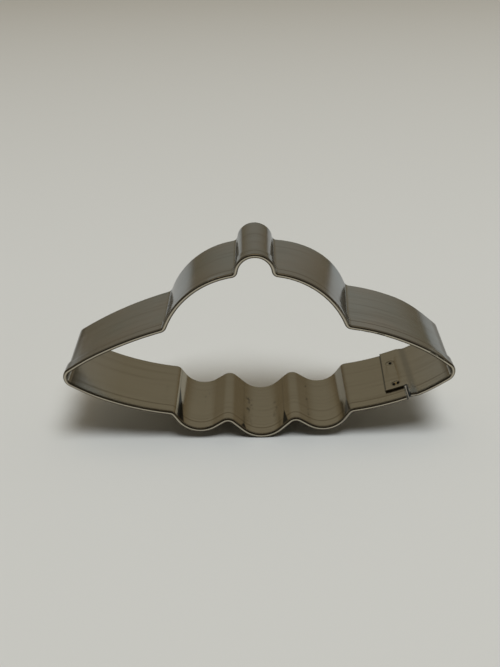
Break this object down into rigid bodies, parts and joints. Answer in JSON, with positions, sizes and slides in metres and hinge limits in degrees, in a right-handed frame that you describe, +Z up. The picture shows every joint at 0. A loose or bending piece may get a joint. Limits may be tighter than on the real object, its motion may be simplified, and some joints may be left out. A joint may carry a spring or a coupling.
{
  "type": "cookie cutter",
  "caption": "Flying-saucer cookie cutter bent from one stainless strip with a rolled rim, open front and back, joined by a spot-welded lap.",
  "frame": {"origin": "on the surface the cutter stands on, under the middle of its bounding box", "axes": "+X to the right along the saucer's brim, +Y from the rolled rim to the cutting edge, +Z up through the knob, as the cutter stands"},
  "size_m": [0.1014, 0.025, 0.0519],
  "materials": {
    "rolled_steel": "satin",
    "weld_metal": "satin"
  },
  "bodies": {
    "root": {"cutter_strip": "rolled_steel", "rear_spot_weld": "weld_metal", "front_spot_weld": "weld_metal"}
  },
  "joints": []
}
